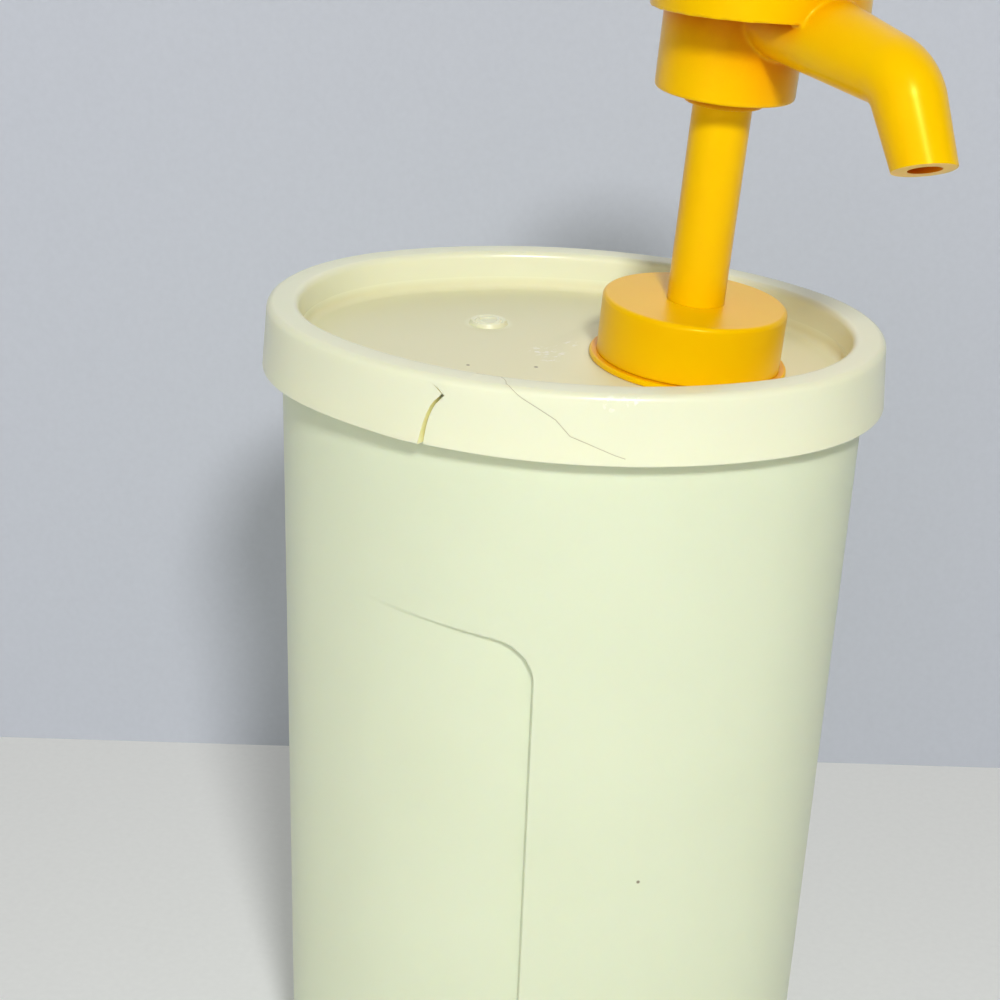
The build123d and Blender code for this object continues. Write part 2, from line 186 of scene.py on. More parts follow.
backdrop.data.materials.append(upright)

for name, spot, width, power in lamps:
    lamp_place = Vector(spot) * mm
    bpy.ops.object.light_add(type="AREA", location=lamp_place)
    lamp = bpy.context.object
    lamp.name = name
    lamp.data.shape = "DISK"
    lamp.data.size = width * mm
    lamp.data.energy = power
    lamp.rotation_euler = (lamp_aim - lamp_place).to_track_quat("-Z", "Y").to_euler()

surround = bpy.data.worlds.new("surround")
surround.use_nodes = True
surround.node_tree.nodes.clear()
towards = add_node(surround, "ShaderNodeTexCoord").outputs["Generated"]
rightwards = add_node(surround, "ShaderNodeSeparateXYZ", {0: towards}).outputs["X"]
strength = add_node(
    surround,
    "ShaderNodeMapRange",
    {
        "Value": rightwards,
        "From Min": -1.0,
        "From Max": 1.0,
        "To Min": surround_left,
        "To Max": surround_right,
    },
)
surround_rays = add_node(surround, "ShaderNodeLightPath").outputs
in_gloss = add_node(
    surround,
    "ShaderNodeMapRange",
    {"Value": surround_rays["Is Glossy Ray"], "To Min": 1.0, "To Max": mirrored_share},
)
dimmed = add_node(
    surround,
    "ShaderNodeMath",
    {0: strength.outputs[0], 1: in_gloss.outputs[0]},
    operation="MULTIPLY",
)
to_camera = add_node(
    surround,
    "ShaderNodeMapRange",
    {
        "Value": surround_rays["Is Camera Ray"],
        "To Min": dimmed.outputs[0],
        "To Max": shown_strength,
    },
)
glow = add_node(
    surround,
    "ShaderNodeBackground",
    {"Color": paint(surround_colour), "Strength": to_camera.outputs[0]},
)
add_node(surround, "ShaderNodeOutputWorld", {"Surface": glow.outputs[0]})
bpy.context.scene.world = surround

# ---------------------------------------------------------------- cup
# The cup is one moulding of food-grade polyethylene with a soft satin skin: an oval wall with
# draft, a pair of sunk side grips that run out at the foot, a snap bead round the rim under the
# lid, and a foot ring with a flat gate pad inside it.
cup_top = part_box("cup")[1].z / mm
cup_half_length = 50.7
cup_half_width = 39.2
cup_end_radius = 32.7
cup_draft = 0.0164
cup_wall = 2.0
cup_floor = 2.4
bead_height = 6.6
bead_width = 1.1
foot_width = 5.0
foot_relief = 1.0
gate_pad_radius = 9.0
gate_pad_sink = 0.5
floor_fill = -14.0  # growth where the sweep round the oval stops and a flat face takes over
grip_front = 3.0
grip_fade = -28.0
grip_depth = 1.8
grip_radius = 55.03
grip_top = 116.4  # at the step, from where it rises towards the faded end
grip_corner = 7.0
grip_rise = 0.1
grip_edge = 0.75  # width of the moulded step
grip_margin = 1.2  # of close columns on each side of the step
corner_margin = 1  # of less close ones past its corner
wall_row = 4.0
grip_row = 0.25
grip_row_margins = (3, 5)  # below the step's corner and above the step
corner_steps = 6
closing_steps = 6

end_centre = cup_half_length - cup_end_radius
side_radius = (end_centre**2 + cup_half_width**2 - cup_end_radius**2) / (
    2 * (cup_half_width - cup_end_radius)
)
side_centre = side_radius - cup_half_width
join_angle = atan2(side_centre, end_centre)


def rounded(corners):
    """The points of an outline of (across, up, radius) corners, with an arc in place of each."""
    points = []
    for i, (x, z, radius) in enumerate(corners):
        here = Vector((x, z))
        if radius == 0 or i in (0, len(corners) - 1):
            points.append(here)
            continue
        back = (Vector(corners[i - 1][:2]) - here).normalized()
        on = (Vector(corners[i + 1][:2]) - here).normalized()
        half = back.angle(on) / 2
        centre = here + (back + on).normalized() * radius / sin(half)
        start = here + back * radius / tan(half) - centre
        turn = start.angle_signed(here + on * radius / tan(half) - centre)
        for k in range(corner_steps + 1):
            points.append(centre + Matrix.Rotation(-turn * k / corner_steps, 2) @ start)
    return points


def oval_outline(corners):
    """An outline whose growths on the oval are turned to distances along +X."""
    return [Vector((p.x + cup_half_length, p.y)) for p in rounded(corners)]


def with_rows(points, low, high, pitch):
    """The outline with rows added at a pitch where its long runs pass between two heights."""
    made = [points[0]]
    for here, there in zip(points, points[1:]):
        count = int(abs(there.y - here.y) / pitch)
        steps = [here.lerp(there, k / count) for k in range(1, count)]
        made += [step for step in steps if low < step.y < high]
        made.append(there)
    return made


def draw_path(name, points):
    """A new object, in edit mode, whose one chain of edges runs through the points."""
    bpy.ops.mesh.primitive_plane_add(size=mm, location=points[0] * mm)
    piece = bpy.context.object
    piece.name = piece.data.name = name
    bpy.ops.object.transform_apply(location=True)
    bpy.ops.object.mode_set(mode="EDIT")
    bpy.ops.mesh.select_mode(type="VERT")
    bpy.ops.mesh.select_all(action="SELECT")
    bpy.ops.mesh.merge(type="CENTER")
    for here, there in zip(points, points[1:]):
        bpy.ops.mesh.extrude_region_move(TRANSFORM_OT_translate={"value": (there - here) * mm})
    bpy.ops.mesh.select_all(action="SELECT")
    return piece


def draw_outline(name, points):
    """A path of (across, up) points in the XZ plane."""
    return draw_path(name, [Vector((point.x, 0, point.y)) for point in points])


def close_mesh():
    """Merges doubles, fills the open loops, turns the faces outwards and leaves edit mode."""
    bpy.ops.mesh.select_all(action="SELECT")
    bpy.ops.mesh.remove_doubles(threshold=0.002 * mm)
    bpy.ops.mesh.fill_holes(sides=0)
    bpy.ops.mesh.select_all(action="SELECT")
    bpy.ops.mesh.normals_make_consistent(inside=False)
    bpy.ops.object.mode_set(mode="OBJECT")


def spin_round_oval(side_turns, end_steps):
    """Spins the outline in edit mode round the oval's four arcs, and closes what is left open.
    side_turns gives the columns of the +Y side as (angle from +X, steps from the last one)."""
    last = join_angle
    far_side = []
    for angle, steps in side_turns + [(pi - join_angle, closing_steps)]:
        far_side.append((angle - last, steps))
        last = angle
    half_end = [(join_angle, end_steps // 2)]
    arcs = [
        ((end_centre, 0), half_end),
        ((0, -side_centre), far_side),
        ((-end_centre, 0), [(2 * join_angle, end_steps)]),
        ((0, side_centre), far_side[::-1]),
        ((end_centre, 0), half_end),
    ]
    for (x, y), turns in arcs:
        for angle, steps in turns:
            bpy.ops.mesh.spin(
                steps=steps, angle=-angle, center=(x * mm, y * mm, 0), axis=(0, 0, 1)
            )
    close_mesh()


def wall_growth(height):
    """Growth of the cup's outline at a height, against the outline at the rim."""
    return (height - cup_top) * cup_draft


def flank_y(x):
    """How far out the cup's flank lies at a place along its length."""
    return sqrt(side_radius**2 - x**2) - side_centre


def flank_angle(x):
    """The angle from +X, about the flank's centre, of a place along the cup's length."""
    return acos(x / side_radius)


def smooth_share(value, low, high):
    """0 at low, 1 at high, and a soft run between them."""
    share = min(max((value - low) / (high - low), 0), 1)
    return share * share * (3 - 2 * share)


# The grip's face is an arc from the flank itself, at the faded end, to the foot of the step.
fade_y = flank_y(grip_fade)
step_y = flank_y(grip_front) - grip_depth
run_x, run_y = grip_front - grip_fade, step_y - fade_y
chord = sqrt(run_x**2 + run_y**2)
to_centre = sqrt(grip_radius**2 - (chord / 2) ** 2)
face_centre_x = (grip_front + grip_fade) / 2 + to_centre * run_y / chord
face_centre_y = (step_y + fade_y) / 2 - to_centre * run_x / chord


def grip_sink(x, z):
    """How far the grip's face lies below the wall at a place on the cup's flank."""
    if not grip_fade < x < grip_front:
        return 0
    face_y = face_centre_y + sqrt(grip_radius**2 - (x - face_centre_x) ** 2)
    inside_x = grip_front - x
    inside_z = grip_top + grip_rise * inside_x - z
    reach = min(inside_x, inside_z)
    if inside_x < grip_corner and inside_z < grip_corner:
        reach = grip_corner - sqrt((grip_corner - inside_x) ** 2 + (grip_corner - inside_z) ** 2)
    return max(flank_y(x) - face_y, 0) * smooth_share(reach, 0, grip_edge)


foot_growth = wall_growth(0)
bead_low = cup_top - bead_height
cup_section = oval_outline(  # growth, height, radius of the edge
    [
        (floor_fill, foot_relief, 0),
        (foot_growth - foot_width, foot_relief, 0.3),
        (foot_growth - foot_width, 0, 0.4),
        (foot_growth, 0, 1.5),
        (wall_growth(bead_low), bead_low, 0.3),
        (bead_width, bead_low, 0.4),
        (bead_width, cup_top, 0.7),
        (-cup_wall, cup_top, 0.4),
        (wall_growth(cup_floor) - cup_wall, cup_floor, 2.0),
        (floor_fill, cup_floor, 0),
    ]
)
cup_section = with_rows(cup_section, 0, cup_top, wall_row)
rows_low = grip_top - grip_corner - grip_row_margins[0]
rows_high = grip_top + grip_row_margins[1]
cup_section = with_rows(cup_section, rows_low, rows_high, grip_row)
grip_columns = [
    (flank_angle(grip_front + grip_margin), 18),
    (flank_angle(grip_front - grip_margin), 20),
    (flank_angle(grip_front - grip_corner - corner_margin), 24),
    (flank_angle(grip_fade), 24),
]
cup = draw_outline("cup_shell", cup_section)
spin_round_oval(grip_columns, end_steps=44)
for vertex in cup.data.vertices:
    x, y, z = vertex.co / mm
    sink = grip_sink(x, z) if abs(y) > cup_half_width / 2 else 0
    vertex.co.y -= (sink if y > 0 else -sink) * mm


def cut_with(piece, tool, operation="DIFFERENCE"):
    """Joins, cuts or trims a piece with another closed mesh, which is then removed."""
    change = piece.modifiers.new("cut", "BOOLEAN")
    change.operation = operation
    change.solver = "EXACT"
    change.object = tool
    change.material_mode = "TRANSFER"
    bpy.context.view_layer.objects.active = piece
    bpy.ops.object.modifier_apply(modifier=change.name)
    bpy.data.objects.remove(tool)


def soften(piece, angle=32):
    """Smooth shading, with an edge kept where faces meet at more than an angle."""
    bpy.ops.object.select_all(action="DESELECT")
    bpy.context.view_layer.objects.active = piece
    piece.select_set(True)
    bpy.ops.object.shade_smooth_by_angle(angle=radians(angle))
    piece.select_set(False)


gate_pad_height = foot_relief + gate_pad_sink
bpy.ops.mesh.primitive_cylinder_add(
    vertices=96,
    radius=gate_pad_radius * mm,
    depth=gate_pad_height * mm,
    location=(0, 0, gate_pad_height / 2 * mm),
)
gate_pad = bpy.context.object
bpy.ops.object.transform_apply(location=True)
cut_with(cup, gate_pad, "UNION")
soften(cup)


def near_spots(material, place, spots):
    """1 inside each of the (x, y, z, radius) spots in millimetres, and 0 away from them. Each
    fades over the last part of its radius, and as far again outside it."""
    fade = 0.3
    total = 0.0
    for *centre, radius in spots:
        away = add_node(
            material,
            "ShaderNodeVectorMath",
            {0: place, 1: Vector(centre) * mm},
            operation="DISTANCE",
        )
        inside = add_node(
            material,
            "ShaderNodeMapRange",
            {
                "Value": away.outputs["Value"],
                "From Min": (1 + fade) * radius * mm,
                "From Max": (1 - fade) * radius * mm,
            },
        )
        total = add_node(
            material, "ShaderNodeMath", {0: inside.outputs[0], 1: total}, operation="MAXIMUM"
        ).outputs[0]
    return total


def drifting_colour(material, place, pitch, shade, colour):
    """A colour that drifts between two over a pitch in millimetres, as resin does in a mould."""
    drift = add_node(material, "ShaderNodeTexNoise", {"Vector": place, "Scale": 1 / (pitch * mm)})
    tint = add_node(
        material,
        "ShaderNodeMix",
        {0: drift.outputs[0], 6: paint(shade), 7: paint(colour)},
        data_type="RGBA",
    )
    return tint.outputs[2]


def moulded_plastic(material, place, colour, roughness, scatter, skin, waves):
    """The finish of a moulded plastic. scatter is the share and reach of the light inside it;
    skin and waves are the pitch and height of its surface texture, all in millimetres."""
    relief = {}
    for (pitch, height), detail in ((skin, 2.0), (waves, 1.0)):
        texture = add_node(
            material,
            "ShaderNodeTexNoise",
            {"Vector": place, "Scale": 1 / (pitch * mm), "Detail": detail},
        )
        bump = add_node(
            material,
            "ShaderNodeBump",
            {"Height": texture.outputs[0], "Distance": height * mm, **relief},
        )
        relief = {"Normal": bump.outputs[0]}
    finish = add_node(
        material,
        "ShaderNodeBsdfPrincipled",
        {
            "Base Color": colour,
            "Roughness": roughness,
            "IOR": 1.5,
            "Subsurface Weight": scatter[0],
            "Subsurface Radius": (1.0, 0.8, 0.5),
            "Subsurface Scale": scatter[1] * mm,
            **relief,
        },
    )
    add_node(material, "ShaderNodeOutputMaterial", {"Surface": finish.outputs[0]})
    return finish


# Polyethylene from a spark-eroded mould: a satin skin that spreads the light into soft, broad
# highlights, slow sink waves, light that reaches a little way in, and a few dark specks.
cup_colour = "#E9F0D0"
cup_shade = "#E2E9C8"
speck_colour = "#8C8468"
cup_specks = [(22.0, -33.5, 72.0, 0.3), (-18.6, -34.3, 41.2, 0.35), (36.0, 33.0, 70.0, 0.3)]
cup_plastic = new_material("satin_moulded_polyethylene")
cup_skin = add_node(cup_plastic, "ShaderNodeTexCoord").outputs["Object"]
cup_tint = add_node(
    cup_plastic,
    "ShaderNodeMix",
    {
        0: near_spots(cup_plastic, cup_skin, cup_specks),
        6: drifting_colour(cup_plastic, cup_skin, 30.0, cup_shade, cup_colour),
        7: paint(speck_colour),
    },
    data_type="RGBA",
).outputs[2]
moulded_plastic(
    cup_plastic, cup_skin, cup_tint,
    roughness=0.42, scatter=(0.35, 3.0), skin=(0.5, 0.01), waves=(16.0, 0.12),
)
cup.data.materials.clear()
cup.data.materials.append(cup_plastic)
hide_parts("cup")
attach(cup, "cup")

# ---------------------------------------------------------------- lid
# The lid is a second moulding, glossier and a little yellower: a flared skirt that snaps over
# the bead, a broad rim with soft edges, and a sunk tray with a leaned seat for the pump. Its
# skirt has split through on the front, and a hairline runs over the rim beside the split.
lid_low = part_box("lid")[0].z / mm
lid_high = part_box("lid")[1].z / mm
skirt_low_growth = 3.3
skirt_high_growth = 2.5
skirt_inside = 1.3
snap_height = 1.6
snap_slope = 0.6
snap_inside = 1.22
tray_depth = 6.9
tray_low_growth = -3.55
tray_high_growth = -2.9
plug_outside = -2.25
rim_thickness = 1.7
panel_thickness = 1.5
panel_fill = -16.0
skirt_row = 1.2
last_column = 0.05  # radians before the end of the flank

panel_top = lid_high - tray_depth
lid_section = oval_outline(  # growth, height, radius of the edge
    [
        (panel_fill, panel_top, 0),
        (tray_low_growth, panel_top, 1.4),
        (tray_high_growth, lid_high, 1.3),
        (skirt_high_growth, lid_high, 1.3),
        (skirt_low_growth, lid_low, 0.25),
        (snap_inside, lid_low, 0.25),
        (snap_inside, lid_low + snap_height, 0.2),
        (skirt_inside, lid_low + snap_height + snap_slope, 0.2),
        (skirt_inside, lid_high - rim_thickness, 0.4),
        (plug_outside, lid_high - rim_thickness, 0.4),
        (plug_outside, panel_top - panel_thickness, 0.5),
        (panel_fill, panel_top - panel_thickness, 0),
    ]
)
lid_section = with_rows(lid_section, lid_low, lid_high, skirt_row)
lid = draw_outline("lid_shell", lid_section)
spin_round_oval([(pi / 2, 40), (pi - join_angle - last_column, 36)], end_steps=90)

# Polyethylene from a polished mould: a smooth skin with a clear gloss and slow sink waves. The
# tray is duller, and painted darker and browner as shade, but for the gate's nub. It is scraped in
# places near the pump.
nub_place = (-17.0, 10.5)
nub_radius = 3.5
lid_colour = "#F3F4D2"
lid_roughness = 0.26
# The tray is painted darker and browner than the lid, as the shade that falls into it.
tray_painted_shade = "#E9E6BE"
tray_dull = 0.3  # roughness that is added
tray_reach = (49.0, 37.5)
tray_edge = 0.98  # share of the reach
tray_fade = (2.4, 1.0)  # heights over the panel between which the tray's look sets in
worn_colour = "#FFFDEA"
worn_dull = 0.25
worn_pitch = 1.1
worn_range = (0.54, 0.62)  # of the noise, from whole to scraped
worn_places = [
    (-4.6, -2.2, 155, 2.4), (-1.9, -5.6, 155, 2.2), (-0.6, 0.9, 155, 2.0),
    (13.2, -40.4, 160.5, 1.1), (15.4, -39.8, 160.7, 0.9), (17.0, -39.4, 161.0, 0.6),
]
lid_specks = [
    (-29.63, -13.15, 155, 0.3), (-15.31, -13.34, 155, 0.3), (-4.14, -10.7, 155, 0.35),
    (3.29, -12.03, 155, 0.25), (11.88, -16.07, 155, 0.3), (-18.0, 33.0, 162, 0.3),
]
lid_plastic = new_material("glossy_moulded_polyethylene")
lid_skin = add_node(lid_plastic, "ShaderNodeTexCoord").outputs["Object"]
low_down = add_node(
    lid_plastic,
    "ShaderNodeMapRange",
    {
        "Value": add_node(lid_plastic, "ShaderNodeSeparateXYZ", {0: lid_skin}).outputs["Z"],
        "From Min": (panel_top + tray_fade[0]) * mm,
        "From Max": (panel_top + tray_fade[1]) * mm,
    },
)
squeezed = add_node(
    lid_plastic,
    "ShaderNodeMapping",
    {
        "Vector": lid_skin,
        "Scale": (1 / (tray_reach[0] * mm), 1 / (tray_reach[1] * mm), 0),
    },
)
from_middle = add_node(
    lid_plastic, "ShaderNodeVectorMath", {0: squeezed.outputs[0]}, operation="LENGTH"
)
inside_rim = add_node(
    lid_plastic,
    "ShaderNodeMapRange",
    {"Value": from_middle.outputs["Value"], "From Min": 1.0, "From Max": tray_edge},
)
off_nub = add_node(
    lid_plastic,
    "ShaderNodeMath",
    {0: 1.0, 1: near_spots(lid_plastic, lid_skin, [(*nub_place, panel_top, nub_radius)])},
    operation="SUBTRACT",
)
in_tray = 1.0
for share in (low_down, inside_rim, off_nub):
    in_tray = add_node(
        lid_plastic, "ShaderNodeMath", {0: in_tray, 1: share.outputs[0]}, operation="MULTIPLY"
    ).outputs[0]
marks = add_node(
    lid_plastic,
    "ShaderNodeTexNoise",
    {"Vector": lid_skin, "Scale": 1 / (worn_pitch * mm), "Detail": 3.0},
)
patches = add_node(
    lid_plastic,
    "ShaderNodeMapRange",
    {"Value": marks.outputs[0], "From Min": worn_range[0], "From Max": worn_range[1]},
)
worn = add_node(
    lid_plastic,
    "ShaderNodeMath",
    {0: near_spots(lid_plastic, lid_skin, worn_places), 1: patches.outputs[0]},
    operation="MULTIPLY",
).outputs[0]
specks = near_spots(lid_plastic, lid_skin, lid_specks)
# The tray's painted shade, the scrapes and the specks are laid over the lid's colour.
lid_tint = paint(lid_colour)
for mask, colour in ((in_tray, tray_painted_shade), (worn, worn_colour), (specks, speck_colour)):
    lid_tint = add_node(
        lid_plastic, "ShaderNodeMix", {0: mask, 6: lid_tint, 7: paint(colour)}, data_type="RGBA"
    ).outputs[2]
lid_gloss = lid_roughness
for mask, dull in ((in_tray, tray_dull), (worn, worn_dull)):
    lid_gloss = add_node(
        lid_plastic, "ShaderNodeMath", {0: mask, 1: dull, 2: lid_gloss}, operation="MULTIPLY_ADD"
    ).outputs[0]
moulded_plastic(
    lid_plastic, lid_skin, lid_tint,
    roughness=lid_gloss, scatter=(0.35, 2.5), skin=(0.6, 0.004), waves=(12.0, 0.1),
)
lid.data.materials.clear()
lid.data.materials.append(lid_plastic)


def even_plastic(name, pitch, shade, colour, **surface):
    """A moulded plastic all of one finish, whose colour drifts over a pitch in millimetres."""
    material = new_material(name)
    place = add_node(material, "ShaderNodeTexCoord").outputs["Object"]
    tint = drifting_colour(material, place, pitch, shade, colour)
    moulded_plastic(material, place, tint, **surface)
    return material


# A torn face is rough, so it is matt, and light that reaches into it comes back pale yellow.
# The hairline's walls are painted a dull grey-brown, as the shade inside the narrow crack.
torn_plastic = even_plastic(
    "torn_polyethylene", 0.4, "#FBF2AE", "#FFFACB",
    roughness=0.7, scatter=(0.6, 2.5), skin=(0.3, 0.02), waves=(1.5, 0.05),
)
hairline_shade_plastic = even_plastic(
    "hairline_painted_shade_polyethylene", 2.5, "#B3AB88", "#D2CBA8",
    roughness=0.8, scatter=(0.1, 0.5), skin=(0.2, 0.03), waves=(1.5, 0.05),
)

# The panel round the pump is laid out in rings, which are then drawn to the pump's lean.
pump_x = 20.1
pump_lean = radians(3.4)
seat = Matrix.Translation(Vector((pump_x, 0, panel_top)) * mm) @ Matrix.Rotation(
    pump_lean, 4, "Y"
)
seat_radius = 17.4
seat_thickness = 2.6
seat_fade = 25.5  # from the pump's axis, where the panel is flat again
seat_rings = 14
seat_cut_depth = 8
shank_hole = 12.0
level_slack = 0.01  # within which a place counts as met
ring_slack = 0.06


def select_only(piece, vertices=None, edges=None, faces=None):
    """Selects what passes a test of its mesh element, and nothing else, in object mode."""
    mesh = piece.data
    for elements, test in ((mesh.vertices, vertices), (mesh.edges, edges), (mesh.polygons, faces)):
        for element in elements:
            element.select = bool(test and test(element))
    bpy.ops.object.select_all(action="DESELECT")
    bpy.context.view_layer.objects.active = piece
    piece.select_set(True)


def from_pump(point):
    """The distance in millimetres from the pump's place, on the level."""
    return sqrt((point.x / mm - pump_x) ** 2 + (point.y / mm) ** 2)


def on_level(point, level):
    """Whether a point lies at a height in millimetres."""
    return abs(point.z / mm - level) < level_slack


def on_ring(edge, level):
    """Whether an edge lies on the open ring of one side of the panel."""
    ends = [lid.data.vertices[i].co for i in edge.vertices]
    return all(abs(from_pump(co) - seat_fade) < ring_slack and on_level(co, level) for co in ends)


def on_hole(edge):
    """Whether an edge lies on one of the two open rings of the pump's hole."""
    ends = [seat.inverted() @ lid.data.vertices[i].co for i in edge.vertices]
    return all(abs(sqrt(co.x**2 + co.y**2) / mm - shank_hole) < ring_slack for co in ends)


bpy.ops.mesh.primitive_cylinder_add(
    vertices=128,
    radius=seat_fade * mm,
    depth=seat_cut_depth * mm,
    location=(pump_x * mm, 0, panel_top * mm),
)
cut_with(lid, bpy.context.object)
select_only(
    lid, faces=lambda f: abs(f.normal.z) < 0.01 and from_pump(f.center) < seat_fade + ring_slack
)
bpy.ops.object.mode_set(mode="EDIT")
bpy.ops.mesh.select_mode(type="FACE")
bpy.ops.mesh.delete(type="ONLY_FACE")
bpy.ops.object.mode_set(mode="OBJECT")
ring_step = (seat_fade - shank_hole) / seat_rings
for level, seat_side in ((panel_top, 0), (panel_top - panel_thickness, -seat_thickness)):
    select_only(lid, edges=lambda edge: on_ring(edge, level))
    bpy.ops.object.mode_set(mode="EDIT")
    bpy.ops.mesh.select_mode(type="EDGE")
    for k in range(seat_rings):
        ring = seat_fade - k * ring_step
        shrink = (ring - ring_step) / ring
        bpy.ops.mesh.extrude_region_move()
        bpy.ops.transform.resize(
            value=(shrink, shrink, 1), center_override=(pump_x * mm, 0, level * mm)
        )
    bpy.ops.object.mode_set(mode="OBJECT")
    for vertex in lid.data.vertices:
        reach = from_pump(vertex.co)
        if reach < seat_fade and on_level(vertex.co, level):
            leaned = seat @ (Vector((vertex.co.x / mm - pump_x, vertex.co.y / mm, seat_side)) * mm)
            vertex.co = leaned.lerp(vertex.co, smooth_share(reach, seat_radius, seat_fade))
select_only(lid, edges=on_hole)
bpy.ops.object.mode_set(mode="EDIT")
bpy.ops.mesh.select_mode(type="EDGE")
bpy.ops.mesh.bridge_edge_loops()
close_mesh()

# The gate's nub stands on the panel, with the scar of the broken sprue in its middle.
nub_height = 0.7
nub_sink = 0.6
nub_slope = radians(30)
scar_rings = ((0.25, 0.0), (0.45, -0.25), (0.35, 0.3), (0.35, 0.0), (0.3, -0.3))  # inset, rise
scar_inset = 0.9
scar_wave = 0.12
scar_turn = 0.6  # radians
bpy.ops.mesh.primitive_cone_add(
    vertices=72,
    radius1=(nub_radius + nub_sink * tan(nub_slope)) * mm,
    radius2=(nub_radius - nub_height * tan(nub_slope)) * mm,
    depth=(nub_height + nub_sink) * mm,
    location=Vector((*nub_place, panel_top + (nub_height - nub_sink) / 2)) * mm,
)
nub = bpy.context.object
bpy.ops.object.transform_apply(location=True)
select_only(nub, faces=lambda f: f.normal.z > 0.9)
bpy.ops.object.mode_set(mode="EDIT")
for inset, rise in scar_rings:
    bpy.ops.mesh.inset(thickness=inset * mm)
    bpy.ops.transform.translate(value=(0, 0, rise * mm))
bpy.ops.object.mode_set(mode="OBJECT")
for vertex in nub.data.vertices:
    away = vertex.co / mm - Vector((*nub_place, panel_top))
    if away.z > 0 and away.xy.length < nub_radius - scar_inset:
        vertex.co.z += scar_wave * sin(2 * atan2(away.y, away.x) + scar_turn) * mm
cut_with(lid, nub, "UNION")

# The split tears obliquely through the skirt and ends in a hook under the rim. The skirt to
# the left of it has sprung outwards by half a millimetre. Its sides are given from below the
# skirt upwards, as places across and heights over the skirt's lower edge.
split_left = [
    (-17.65, -2.5), (-17.6, -1.5), (-17.45, 0.3), (-17.0, 2.2), (-16.6, 3.8), (-16.1, 5.3),
    (-15.5, 6.6), (-14.8, 7.55), (-13.9, 8.35), (-13.55, 8.8), (-14.3, 9.5), (-15.1, 10.1),
]
split_right = [
    (-16.45, -2.5), (-16.35, -0.4), (-16.2, 1.4), (-15.95, 3.0), (-15.6, 4.5), (-15.1, 5.8),
    (-14.5, 6.95), (-13.8, 7.75), (-13.1, 8.6), (-14.1, 9.55),
]
split_front = -43.0
split_skin = -40.5
split_back = -38.8
split_closing = 0.86  # share of the gap that is shut on the skirt's inside
split_closed_to = 7.7  # height
spring_out = 0.5
spring_reach = 14.0
spring_heights = (1, 9)  # from fully sprung to not at all
front_side = -30
split_points = [Vector((x, lid_low + z)) for x, z in split_left + split_right[::-1]]
split_tool = draw_outline("split", split_points)
split_tool.data.materials.append(torn_plastic)
bpy.ops.mesh.edge_face_add()
bpy.ops.transform.translate(value=(0, split_front * mm, 0))
for step in (split_skin - split_front, split_back - split_skin):
    bpy.ops.mesh.extrude_region_move(TRANSFORM_OT_translate={"value": (0, step * mm, 0)})
bpy.ops.mesh.select_all(action="SELECT")
bpy.ops.mesh.normals_make_consistent(inside=False)
bpy.ops.object.mode_set(mode="OBJECT")


def split_place(side, height):
    """The place across of one side of the split at a height over the skirt's lower edge."""
    for (x0, z0), (x1, z1) in zip(side, side[1:]):
        if z0 <= height <= z1:
            return x0 + (x1 - x0) * (height - z0) / (z1 - z0)
    return side[0][0]


for vertex in split_tool.data.vertices:
    height = vertex.co.z / mm - lid_low
    if vertex.co.y / mm > split_back - level_slack and height < split_closed_to:
        right = split_place(split_right, height)
        vertex.co.x += (right * mm - vertex.co.x) * split_closing
cut_with(lid, split_tool)
for vertex in lid.data.vertices:
    x, y, z = vertex.co / mm
    height = z - lid_low
    middle = (split_place(split_left, height) + split_place(split_right, height)) / 2
    if y < front_side and x < middle and height < spring_heights[1]:
        share = smooth_share(x, middle - spring_reach, middle)
        vertex.co.y -= spring_out * share * (1 - smooth_share(height, *spring_heights)) * mm

# The hairline is a shallow open crack from the tray over the rim and down the skirt, given as
# places with heights over the skirt's lower edge.
hairline_width = 0.12
hairline_steps = 4
hairline = [
    (-8.9, -36.75, 11.6), (-8.5, -36.9, 11.55), (-6.6, -36.8, 11.55), (-4.9, -37.2, 11.5),
    (-4.2, -37.9, 11.5), (-3.7, -39.0, 11.5), (-3.4, -40.2, 11.45), (-2.2, -41.2, 11.0),
    (-0.3, -41.75, 9.9), (2.2, -41.95, 8.6), (4.9, -41.95, 7.1), (7.3, -41.75, 4.6),
    (9.8, -41.55, 3.7), (14.3, -40.85, 1.9), (16.5, -40.4, 1.2),
]
surface_path = []
for here, there in zip(hairline, hairline[1:]):
    for k in range(hairline_steps):
        spot = Vector(here).lerp(Vector(there), k / hairline_steps) + Vector((0, 0, lid_low))
        surface_path.append(lid.closest_point_on_mesh(spot * mm)[1] / mm)
hairline_tool = draw_path("hairline", surface_path)
bpy.ops.object.mode_set(mode="OBJECT")
select_only(hairline_tool)
bpy.ops.object.convert(target="CURVE")
hairline_tool.data.bevel_depth = hairline_width / 2 * mm
hairline_tool.data.bevel_resolution = 1
hairline_tool.data.use_fill_caps = True
bpy.ops.object.convert(target="MESH")
# The crack's cut walls take the painted shade.
hairline_tool.data.materials.clear()
hairline_tool.data.materials.append(hairline_shade_plastic)
cut_with(lid, hairline_tool)
soften(lid)
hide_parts("lid")
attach(lid, "lid")

# ---------------------------------------------------------------- pump_body
# The pump's body is one moulding of yellow polypropylene: the flange that shows as a ring on
# the lid, the neck with its thread, the barrel, the inlet valve's seat and the tube's socket.
# Its shank stands in the lid's hole, and the lock nut holds it there.
pump_colour = "#FFCC00"
pump_shade = "#FFC200"
# A deeper orange, painted into the pump's creases as shade.
pump_painted_crease_shade = "#DA6000"
pump_crease = 14  # reach of the deeper colour, in millimetres
closed_share = 0.4  # of the view out of a crease, at which its colour is deepest
